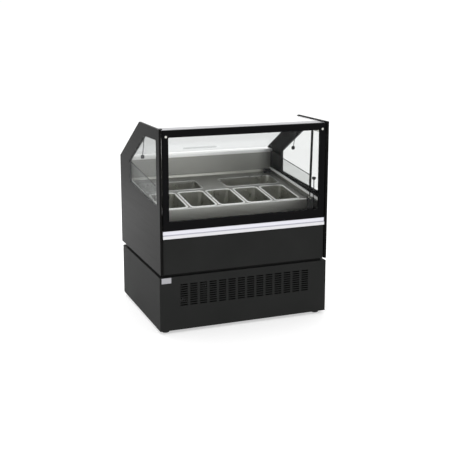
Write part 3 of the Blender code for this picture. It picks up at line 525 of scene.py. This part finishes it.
def trim_profile():
    trim = Finish("trim_two_step")
    height = trim.axis(2)
    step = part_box("trim_strip")[0].z + 0.0185
    upper = height.above(step)
    # A dark band painted at the step: a painted shadow line.
    line = height.within(step - 0.0012, step + 0.0040)
    grain = trim.noise(7.0, (1.0, 120.0, 120.0))
    face = trim.tint(upper, (0.72, 0.72, 0.74), (0.76, 0.76, 0.82))
    face = trim.tint(line * 0.75, face, (0.30, 0.30, 0.36))
    trim.bump(grain, 0.00003)
    return trim.done(Base_Color=trim.tint(grain * 0.15, face, (0.50, 0.50, 0.55)), Metallic=0.35 * upper,
                     Roughness=0.30 + 0.12 * grain)


dressed("trim_strip", 0.0006, trim_profile(), "cabinet", "aluminium")

# ---------------------------------------------------------------- deck
# One stainless sheet that slopes down to the customer, with rounded openings for the pans and a
# skirt folded down in front.
DECK_SLOPE, DECK_FRONT_LEVEL = math.radians(7.8), 0.650
deck_low, deck_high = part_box("deck")


def deck_sheet_steel():
    """The top is painted darker, as shade, and the folded skirt in front is painted brighter, as light."""
    steel = Finish("deck_steel")
    grain, cloud = steel.noise(9.0, (1.0, 130.0, 130.0), detail=4.0), steel.noise(4.0)
    steel.bump(grain, 0.00004)
    # Two tones on one sheet: the top painted darker as shade, the skirt in front painted brighter as light.
    skirt = 1 - steel.axis(1).spread(deck_low.y + 0.002, deck_low.y + 0.006)
    top = steel.tint(grain * 0.6 + cloud * 0.4, (0.18, 0.18, 0.168), (0.335, 0.335, 0.313))
    front = steel.tint(grain * 0.6 + cloud * 0.4, (0.60, 0.60, 0.565), (0.86, 0.86, 0.812))
    return steel.done(Base_Color=steel.tint(skirt, top, front), Metallic=1.0, Roughness=0.32 + 0.14 * grain)


dressed("deck", 0.0006, deck_sheet_steel(), "cabinet", "stainless")

# ---------------------------------------------------------------- rear ledge
# A bright stainless angle behind the rear pans, folded forward at its top. Four small screws fix it
# to the foot of the rear wall.
LEDGE_DEEP, LEDGE_TALL, FLANGE_THICK, LIP_THICK, STUD_RISE = 0.010, 0.016, 0.0014, 0.0012, 0.007


def on_deck(y):
    """The height of the deck's top face at a distance back."""
    return DECK_FRONT_LEVEL + (y - deck_low.y) * math.tan(DECK_SLOPE)


def screw_head(place, outward, radius=0.0035):
    """A low domed head with a round socket, seated on a face that looks outward."""
    socket, dome = [(0.0, 0.25), (0.38, 0.25)], [(0.42, 0.60), (0.62, 0.56), (0.86, 0.38), (1.0, 0.10)]
    shank = [(1.0, -0.12), (0.0, -0.12)]
    turn = Vector(outward).to_track_quat("Z", "Y").to_matrix()
    return turned([(radius * r, radius * h) for r, h in socket + dome + shank], place, 16, turn)


ledge_half, ledge_back = deck_high.x - 0.004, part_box("rear_wall")[0].y - 0.0006
ledge_foot = on_deck(ledge_back)
ledge_top = ledge_foot + LEDGE_TALL
flange = block((-ledge_half, ledge_back - FLANGE_THICK, ledge_foot),
               (ledge_half, ledge_back, ledge_top), 0.0005)
lip = block((-ledge_half, ledge_back - LEDGE_DEEP, ledge_top - LIP_THICK),
            (ledge_half, ledge_back, ledge_top), 0.0005)
bright_steel = brushed_steel("bright_folded_steel", 0, 0.62, 0.80, 0.22)
screw_steel = brushed_steel("screw_steel", 0, 0.45, 0.65, 0.22)
studs = [screw_head((x, ledge_back - FLANGE_THICK, ledge_foot + STUD_RISE), (0, -1, 0), 0.003)
         for x in (-0.36, -0.22, 0.02, 0.26)]
fitted("deck_rear_ledge", joined(flange, lip), bright_steel, "cabinet", "stainless")
fitted("deck_ledge_screws", joined(*studs), screw_steel, "cabinet", "stainless")

# ---------------------------------------------------------------- probe cover
# A moulded black cover over the thermostat's probe, clipped to the deck in its rear right corner in
# front of the ledge.
probe_back = ledge_back - LEDGE_DEEP - 0.0006
probe_front = ledge_back - LEDGE_DEEP - 0.022
probe_foot = on_deck(probe_front) + 0.0004
probe = block((ledge_half - 0.046, probe_front, probe_foot),
              (ledge_half - 0.002, probe_back, probe_foot + 0.026), 0.004, 3)
fitted("probe_cover", probe, black_plastic, "cabinet", "black_plastic")

# ---------------------------------------------------------------- front bead
# A satin stainless bead along the deck's front edge, rounded over its corners, painted near white as a
# highlight. It is pressed on where the sheet folds down into the skirt.


def bead_painted_highlight():
    bead = Finish("deck_bead_painted_highlight")
    grain = bead.noise(9.0, (1.0, 130.0, 130.0))
    # Near white and only a little metallic, so the bead shows as a painted highlight.
    return bead.done(Base_Color=bead.tint(grain, (0.86, 0.86, 0.84), (0.96, 0.96, 0.94)), Metallic=0.3,
                     Roughness=0.25 + 0.1 * grain)


bead = block((-ledge_half, deck_low.y - 0.0006, DECK_FRONT_LEVEL - 0.0046),
             (ledge_half, deck_low.y + 0.0062, DECK_FRONT_LEVEL + 0.0034), 0.0022, 3)
fitted("deck_front_bead", bead, bead_painted_highlight(), "cabinet", "stainless")

# ---------------------------------------------------------------- ice cream pans
# Deep-drawn stainless pans that hang in the deck's openings by rolled rims: five narrow ones in front
# and two wide ones behind. The front rims are painted near white as a highlight, and the rear pans are
# painted darker, as shade.
RIM, ROLL, SHEET = 0.010, 0.0024, 0.0009
DRAFT, CORNER = 0.011, 0.022
PAN_RIM_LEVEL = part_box("front_pan_3")[1].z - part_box("front_pan_3")[1].y * math.tan(DECK_SLOPE)


def drawn_steel(name, wall, rim):
    """Dull drawn walls with faint upright lines, and a rim painted brighter as a highlight."""
    steel = Finish(name)
    lines, cloud = steel.noise(8.0, (60.0, 60.0, 1.0)), steel.noise(22.0)
    steel.bump(lines, 0.00003)
    up = steel.axis(2) - steel.axis(1) * math.tan(DECK_SLOPE)
    # The rim band is painted in the rim colour: a painted highlight.
    rim_highlight = up.spread(PAN_RIM_LEVEL - 0.004, PAN_RIM_LEVEL - 0.001)
    shade, lit = lines * 0.5 + cloud * 0.5, wall * 1.4
    inside = steel.tint(shade, (wall, wall, wall * 0.93), (lit, lit, wall * 1.3))
    return steel.done(Base_Color=steel.tint(rim_highlight, inside, (rim, rim, rim * 0.98)), Metallic=1.0,
                      Roughness=0.20 + 0.12 * cloud + 0.06 * lines)


def deep_drawn(node, wide, long, deep, taper, corner):
    """A pan pressed from sheet: tapered walls, a rounded foot, and a rim rolled down at its edge."""
    low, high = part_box(node)
    shape = bmesh.new()
    bmesh.ops.create_cube(shape, size=1.0)
    inner = Vector((wide - 2 * RIM, long - 2 * RIM, deep))
    bmesh.ops.scale(shape, vec=inner, verts=shape.verts)
    bmesh.ops.translate(shape, vec=(0, 0, -deep / 2), verts=shape.verts)
    for vert in shape.verts:
        if vert.co.z < -deep / 2:
            vert.co.x -= math.copysign(taper, vert.co.x)
            vert.co.y -= math.copysign(taper, vert.co.y)
    upright = [e for e in shape.edges if abs(e.verts[0].co.z - e.verts[1].co.z) > deep / 2]
    bmesh.ops.bevel(shape, geom=upright, offset=corner, segments=8, profile=0.5, affect="EDGES", material=-1)
    foot = [e for e in shape.edges if max(v.co.z for v in e.verts) < -deep + 0.0001]
    bmesh.ops.bevel(shape, geom=foot, offset=0.013, segments=5, profile=0.5, affect="EDGES", material=-1)
    lid = [f for f in shape.faces if min(v.co.z for v in f.verts) > -0.0001]
    bmesh.ops.delete(shape, geom=lid, context="FACES_ONLY")
    for grow, rise in ((0.0015, 0.0012), (RIM - ROLL, 0.0), (ROLL * 0.7, -0.0007), (ROLL * 0.3, -0.0022)):
        mouth = [e for e in shape.edges if e.is_boundary]
        grown = bmesh.ops.extrude_edge_only(shape, edges=mouth)["geom"]
        ring = [v for v in grown if isinstance(v, bmesh.types.BMVert)]
        half_x, half_y = max(v.co.x for v in ring), max(v.co.y for v in ring)
        bmesh.ops.scale(shape, vec=((half_x + grow) / half_x, (half_y + grow) / half_y, 1.0), verts=ring)
        bmesh.ops.translate(shape, vec=(0, 0, rise), verts=ring)
    bmesh.ops.recalc_face_normals(shape, faces=shape.faces)
    bottom = [f for f in shape.faces if f.calc_center_median().z < -deep + 0.001]
    if sum(f.normal.z for f in bottom) < 0:
        bmesh.ops.reverse_faces(shape, faces=shape.faces)
    bmesh.ops.solidify(shape, geom=shape.faces[:], thickness=SHEET)
    bmesh.ops.recalc_face_normals(shape, faces=shape.faces)
    bmesh.ops.rotate(shape, matrix=Matrix.Rotation(DECK_SLOPE, 3, "X"), verts=shape.verts)
    spot = (low + high) / 2
    corners = [v.co for v in shape.verts]
    own_low = Vector(min(c[i] for c in corners) for i in range(3))
    own_high = Vector(max(c[i] for c in corners) for i in range(3))
    shift = Vector((spot.x, spot.y - (own_low.y + own_high.y) / 2, high.z - own_high.z))
    bmesh.ops.translate(shape, vec=shift, verts=shape.verts)
    return shape


# The same steel twice: near white rims on the front pans as painted highlight, darker walls and rims on the
# rear pans as painted shade.
front_pan_lit_steel = drawn_steel("front_pan_steel", 0.46, 0.88)
rear_pan_shaded_steel = drawn_steel("rear_pan_steel", 0.41, 0.50)
pans = [(f"front_pan_{i}", 0.162, 0.265, 0.148, front_pan_lit_steel) for i in range(1, 6)]
pans += [(f"rear_pan_{side}", 0.360, 0.165, 0.118, rear_pan_shaded_steel) for side in ("left", "right")]
for pan, wide, long, deep, pan_steel in pans:
    fitted(f"{pan}_drawn", deep_drawn(pan, wide, long, deep, DRAFT, CORNER), pan_steel, pan, "stainless", pan,
           sharp=60)

# ---------------------------------------------------------------- side boards
# Thick boards faced with a glossy black laminate, with faint streaks along their length. They are
# screwed to the body from inside and carry the canopy.


def glossy_board():
    board = Finish("side_board_black")
    streaks, cloud = board.noise(3.0, (1.0, 1.0, 45.0)), board.noise(3.5)
    board.bump(streaks, 0.00003)
    return board.done(Base_Color=board.tint(streaks, (0.0040, 0.0040, 0.0039), (0.0105, 0.0105, 0.0102)),
                      Roughness=0.10 + 0.20 * streaks + 0.04 * cloud, Specular_IOR_Level=0.012)


board = glossy_board()
for side in ("left", "right"):
    dressed(f"side_panel_{side}", 0.0010, board, "cabinet", "side_laminate", 3)

# ---------------------------------------------------------------- side windows
# Panes of float glass let in flush to the boards' openings and bonded with a thin black seal. The
# left one passes less light and shines less than the right, as painted shade.


def clear_pane(name, passes, gloss=0.35, smears=0.012):
    """Float glass or clear acrylic: light passes slightly tinted, and both faces shine more at a slant."""
    pane = Finish(name)
    smears_and_painted_highlight = pane.noise(5.0, (1.0, 1.0, 0.4)).spread(0.45, 0.8)
    slant = pane.node("ShaderNodeLayerWeight", sockets={"Blend": 0.5}, output="Facing")
    through = pane.node("ShaderNodeBsdfTransparent", sockets={"Color": (*passes, 1.0)}, output="BSDF")
    shine = pane.node("ShaderNodeBsdfGlossy", sockets={"Color": (0.95, 0.97, 0.98, 1.0), "Roughness": 0.03},
                      output="BSDF")
    mirror = (slant ** 5 * 0.96 + 0.04) * gloss + smears_and_painted_highlight * smears
    mixed = pane.node("ShaderNodeMixShader", sockets={0: mirror, 1: through, 2: shine})
    pane.tree.nodes.remove(pane.shader)
    pane.fill(pane.tree.nodes["Material Output"], {"Surface": mixed})
    return pane.material


# The left pane passes less light than the right: painted shade on the same glass.
window_shading = {"left": ((0.835, 0.840, 0.836), 0.20), "right": ((0.885, 0.890, 0.886), 0.25)}
for side, (passes, gloss) in window_shading.items():
    pane_glass = clear_pane(f"window_glass_{side}", passes, gloss, 0.006)
    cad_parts[f"side_window_{side}"].data.materials[0] = pane_glass

# ---------------------------------------------------------------- side baffles
# Clear acrylic strips that stand on the liners and keep the cold air over the pans. A thin rubber
# edging runs along the top of each, which falls with the liner.
acrylic = clear_pane("baffle_acrylic", (0.85, 0.855, 0.85), 0.25)
for side in ("left", "right"):
    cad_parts[f"side_baffle_{side}"].data.materials[0] = acrylic
    low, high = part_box(f"side_baffle_{side}")
    edging = block((low.x - 0.0006, low.y, high.z - 0.0028), (high.x + 0.0006, high.y, high.z + 0.0004),
                   0.0005)
    for vert in edging.verts:
        vert.co.z -= (high.y - vert.co.y) * LINER_SLOPE
    fitted(f"baffle_edging_{side}", edging, rubber, "cabinet", "black_plastic")

# ---------------------------------------------------------------- canopy
# A satin anodised aluminium rail along the front, a white enamelled steel sheet behind it, and a lamp
# in a white diffuser screwed up under them both.


def anodised():
    rail = Finish("rail_anodised")
    grain = rail.noise(8.0, (1.0, 110.0, 110.0))
    rail.bump(grain, 0.00003)
    return rail.done(Base_Color=rail.tint(grain, (0.32, 0.32, 0.33), (0.38, 0.38, 0.40)), Metallic=0.4,
                     Roughness=0.28 + 0.1 * grain)


def white_sheet():
    enamel = Finish("top_enamel_white")
    cloud = enamel.noise(4.0)
    enamel.bump(enamel.noise(600.0), 0.00003)
    return enamel.done(Base_Color=enamel.tint(cloud, (0.84, 0.84, 0.85), (0.90, 0.90, 0.91)),
                       Roughness=0.14 + 0.06 * cloud)


enamel_white = white_sheet()
dressed("canopy_rail", 0.0012, anodised(), "cabinet", "aluminium", 3)
dressed("top_sheet", 0.0010, enamel_white, "cabinet", "white_enamel", 3)
dressed("canopy_lamp", 0.0012, enamel_white, "cabinet", "white_enamel", 3)

# ---------------------------------------------------------------- rail end caps
# Small moulded black caps on top of the rail at both ends, pushed up against the side boards. They
# hide the rail's cut ends and its fixing screws.
CAP_LONG, CAP_FRONT, CAP_BACK, CAP_TALL = 0.016, 0.004, 0.026, 0.0060
rail_low, rail_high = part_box("canopy_rail")
for side, sign in (("left", -1), ("right", 1)):
    inner, outer = sorted((sign * (rail_high.x - CAP_LONG), sign * (rail_high.x + 0.0003)))
    cap = block((inner, rail_low.y + CAP_FRONT, rail_high.z + 0.0002),
                (outer, rail_low.y + CAP_BACK, rail_high.z + CAP_TALL), 0.0024, 3)
    fitted(f"rail_end_cap_{side}", cap, black_plastic, "cabinet", "black_plastic")

# ---------------------------------------------------------------- lifting front glass
# A clear pane in a black painted frame, which swings up about its top edge. Stainless brackets behind
# its top corners are screwed through the glass, with bright heads in front.


def frame_black():
    paint = Finish("glass_frame_black")
    cloud = paint.noise(6.0)
    paint.bump(paint.noise(700.0), 0.00003)
    return paint.done(Base_Color=paint.tint(cloud, (0.0035, 0.0035, 0.0038), (0.0055, 0.0055, 0.0060)),
                      Roughness=0.30 + 0.08 * cloud, Specular_IOR_Level=0.03)


dressed("glass_frame", 0.0008, frame_black(), "lifting_glass", "black_paint", 3)
front_pane = clear_pane("front_pane_glass", (0.985, 0.988, 0.987), 0.10, 0.003)
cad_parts["front_glass"].data.materials[0] = front_pane
bracket_steel = brushed_steel("bracket_steel", 2, 0.5, 0.7, 0.2)
for side in ("left", "right"):
    dressed(f"glass_arm_{side}", 0.0004, bracket_steel, "lifting_glass", "stainless")

# ---------------------------------------------------------------- gas struts
# Black tubes and rods that hold the glass open. Each rod's eye turns on a bright bolt in a stainless
# lug, which is welded to the side liner.
EYE_RADIUS = 0.0075
lug_finish = brushed_steel("lug_steel", 2, 0.80, 0.95, 0.2)
for side, sign in (("left", -1), ("right", 1)):
    dressed(f"strut_rod_{side}", 0.0003, black_coat, f"strut_rod_{side}", "stainless")
    dressed(f"strut_tube_{side}", 0.0004, black_coat, f"strut_tube_{side}", "black_paint")
    rod_low, rod_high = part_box(f"strut_rod_{side}")
    pivot = Vector(((rod_low.x + rod_high.x) / 2, rod_high.y - EYE_RADIUS, rod_low.z + EYE_RADIUS))
    inner, outer = sorted((sign * (abs(pivot.x) + 0.0048), sign * (liner_in - 0.0018)))
    lug = block((inner, pivot.y - 0.013, pivot.z - 0.012), (outer, pivot.y + 0.013, pivot.z + 0.007), 0.0010)
    fitted(f"strut_foot_lug_{side}", lug, lug_finish, "cabinet", "stainless")
    bolt = screw_head((pivot.x - sign * 0.0042, pivot.y, pivot.z), (-sign, 0, 0), 0.0042)
    fitted(f"strut_foot_bolt_{side}", bolt, lug_finish, f"strut_rod_{side}", "stainless")

# ---------------------------------------------------------------- rear hatch
# A clear acrylic sheet over the server's opening, which swings up from its upper edge. A strip of the
# same acrylic is bonded across it as a grip.
hatch_acrylic = clear_pane("hatch_sheet", (0.86, 0.865, 0.865), 0.3)
for sheet in ("rear_hatch", "hatch_handle"):
    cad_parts[sheet].data.materials[0] = hatch_acrylic

# ---------------------------------------------------------------- hatch hinges
# Two bright stainless hinges: three knuckles on the top sheet's edge, and a leaf that lies on the
# hatch and is held by two screws.
HINGE_AT, KNUCKLE_PITCH, KNUCKLE_HALF, KNUCKLE_RADIUS, KNUCKLE_RISE = 0.330, 0.024, 0.0118, 0.0034, 0.0032
hatch_low, hatch_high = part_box("rear_hatch")
hinge_y, knuckle_z = hatch_low.y + 0.0025, hatch_high.z + KNUCKLE_RISE
hatch_fall = Matrix.Rotation(math.radians(-30), 3, "X")
for side, sign in (("left", -1), ("right", 1)):
    middle = sign * HINGE_AT
    knuckles = [rod_between((middle + offset - KNUCKLE_HALF, hinge_y, knuckle_z),
                            (middle + offset + KNUCKLE_HALF, hinge_y, knuckle_z), KNUCKLE_RADIUS)
                for offset in (-KNUCKLE_PITCH, 0.0, KNUCKLE_PITCH)]
    leaf = block((-0.034, 0.004, 0.0003), (0.034, 0.030, 0.0017), 0.0004)
    heads = [screw_head((x, 0.019, 0.0017), (0, 0, 1), 0.0030) for x in (-0.022, 0.022)]
    for shape in [leaf, *heads]:
        bmesh.ops.rotate(shape, cent=(0, 0, 0), matrix=hatch_fall, verts=shape.verts)
        bmesh.ops.translate(shape, vec=(middle, hinge_y, hatch_high.z), verts=shape.verts)
    fitted(f"hatch_hinge_barrel_{side}", joined(*knuckles), bright_steel, "cabinet", "stainless")
    fitted(f"hatch_hinge_leaf_{side}", leaf, bright_steel, "hatch", "stainless")
    fitted(f"hatch_hinge_screws_{side}", joined(*heads), screw_steel, "hatch", "stainless")

# ---------------------------------------------------------------- hatch props
# Short black rods with round knobs, which hang at the side boards and swing up with the hatch. Rod
# and knob are moulded in one.
for side in ("left", "right"):
    dressed(f"hatch_prop_{side}", 0.0004, black_plastic, f"hatch_prop_{side}", "black_plastic")

# ---------------------------------------------------------------- control panel
# A moulded plate on the server's side with two rocker switches, two thermostat keys and a dark
# display lens. Four screws at its corners hold it to the rear panel.
LENS_WIDE, LENS_TALL = 0.061, 0.035


def display_lens():
    """A dark lens, its smoke varying a little at random."""
    lens = Finish("display_lens")
    tone = lens.noise(70.0)
    return lens.done(Base_Color=lens.tint(tone, (0.004, 0.0035, 0.0035), (0.012, 0.008, 0.008)),
                     Roughness=0.05 + 0.06 * tone)


dressed("control_panel", 0.0006, black_plastic, "cabinet", "black_plastic")
for control in ("power_switch", "light_switch", "thermostat_key_up", "thermostat_key_down"):
    dressed(control, 0.0004, black_plastic, control, "black_plastic")
plate_low, plate_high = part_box("control_panel")
lens_left, lens_foot = plate_low.x + 0.0225, plate_low.z + 0.0325
lens = block((lens_left, plate_high.y - 0.0004, lens_foot),
             (lens_left + LENS_WIDE, plate_high.y + 0.0007, lens_foot + LENS_TALL), 0.0005)
fitted("thermostat_display", lens, display_lens(), "cabinet", "black_plastic")
corner_screws = [screw_head((x, plate_high.y - 0.0025, z), (0, 1, 0), 0.0026)
                 for x in (plate_low.x + 0.008, plate_high.x - 0.008)
                 for z in (plate_low.z + 0.008, plate_high.z - 0.008)]
fitted("control_panel_screws", joined(*corner_screws), screw_steel, "cabinet", "stainless")

# ---------------------------------------------------------------- screws at the back
# Domed stainless screws that fix the rear panel and the base's slotted back, three along the top and
# three along the bottom of each.
for sheet in ("rear_panel", "base_rear_grille"):
    low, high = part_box(sheet)
    heads = [screw_head((x, high.y, z), (0, 1, 0))
             for x in (low.x + 0.016, (low.x + high.x) / 2, high.x - 0.016)
             for z in (low.z + 0.014, high.z - 0.014)]
    fitted(f"{sheet}_screws", joined(*heads), screw_steel, "cabinet", "stainless")

# ---------------------------------------------------------------- mains inlet
# A moulded black socket with a deep recess, clipped into the base's back. Three flat steel pins stand
# in it, the middle one higher.
PIN_HALF_WIDE, PIN_HALF_TALL = 0.0011, 0.0022
dressed("power_inlet", 0.0008, black_plastic, "cabinet", "black_plastic")
inlet_low, inlet_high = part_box("power_inlet")
inlet = (inlet_low + inlet_high) / 2
pins = [block((inlet.x + dx - PIN_HALF_WIDE, inlet.y - 0.0035, inlet.z + dz - PIN_HALF_TALL),
              (inlet.x + dx + PIN_HALF_WIDE, inlet.y + 0.0048, inlet.z + dz + PIN_HALF_TALL), 0.0005)
        for dx, dz in ((-0.0065, -0.0015), (0.0, 0.0025), (0.0065, -0.0015))]
fitted("inlet_pins", joined(*pins), screw_steel, "cabinet", "stainless")

# ---------------------------------------------------------------- studio floor and sky
# A wide sheet of pale paper under an even white sky. The paper glows a little, so the shadow under
# the base stays faint.
SKY_STRENGTH, PAPER_GLOW, FLOOR_HALF = 1.03, 0.50, 60.0


def plain_world(strength):
    world = bpy.data.worlds.new("studio_sky")
    world.use_nodes = True
    sky = world.node_tree.nodes["Background"]
    sky.inputs["Color"].default_value = (1.0, 1.0, 1.0, 1.0)
    sky.inputs["Strength"].default_value = strength
    return world


def paper_white():
    paper = Finish("floor_paper")
    shade = paper.noise(1.5)
    return paper.done(Base_Color=paper.tint(shade, (0.58, 0.58, 0.58), (0.60, 0.60, 0.60)), Roughness=0.9,
                      Emission_Color=(1.0, 1.0, 1.0, 1.0), Emission_Strength=PAPER_GLOW)


scene.world = plain_world(SKY_STRENGTH)
scene.view_settings.view_transform = "Standard"
ground = bmesh.new()
bmesh.ops.create_grid(ground, x_segments=1, y_segments=1, size=FLOOR_HALF)
ground_mesh = bpy.data.meshes.new("floor")
ground.to_mesh(ground_mesh)
ground.free()
ground_mesh.materials.append(paper_white())
floor = bpy.data.objects.new("floor", ground_mesh)
scene.collection.objects.link(floor)

# ---------------------------------------------------------------- studio lights
# A wide softbox overhead, a weaker one at the customer's left, and a small one low behind that
# brightens the floor seen through the left window.
CABINET_HEART = (0.0, 0.0, 0.6)


def soft_light(name, place, target, size, power):
    lamp = bpy.data.lights.new(name, "AREA")
    lamp.shape, lamp.size, lamp.energy = "SQUARE", size, power
    holder = bpy.data.objects.new(name, lamp)
    holder.location = place
    holder.rotation_euler = (Vector(target) - Vector(place)).to_track_quat("-Z", "Y").to_euler()
    scene.collection.objects.link(holder)


soft_light("overhead_softbox", (0.3, 0.8, 3.6), CABINET_HEART, 3.0, 50.0)
soft_light("left_softbox", (-3.2, -1.6, 2.4), CABINET_HEART, 2.0, 12.0)
soft_light("rear_left_floor_light", (-1.7, 2.9, 1.6), (-1.3, 2.2, 0.0), 0.9, 32.0)

# ---------------------------------------------------------------- camera
# A long lens from the customer's left, a little above the cabinet and looking slightly down. Its film
# is shifted, so the cabinet sits in the middle of the frame.
CAMERA_PLACE = (-1.7984, -4.6861, 1.7019)
CAMERA_AZIMUTH, CAMERA_PITCH = math.radians(21.311), math.radians(10.689)
CAMERA_LENS, CAMERA_SHIFT = 69.39, -0.10
eye = bpy.data.objects.new("camera", bpy.data.cameras.new("camera"))
eye.data.lens, eye.data.shift_y = CAMERA_LENS, CAMERA_SHIFT
eye.location = CAMERA_PLACE
eye.rotation_euler = (math.pi / 2 - CAMERA_PITCH, 0.0, -CAMERA_AZIMUTH)
scene.collection.objects.link(eye)
scene.camera = eye
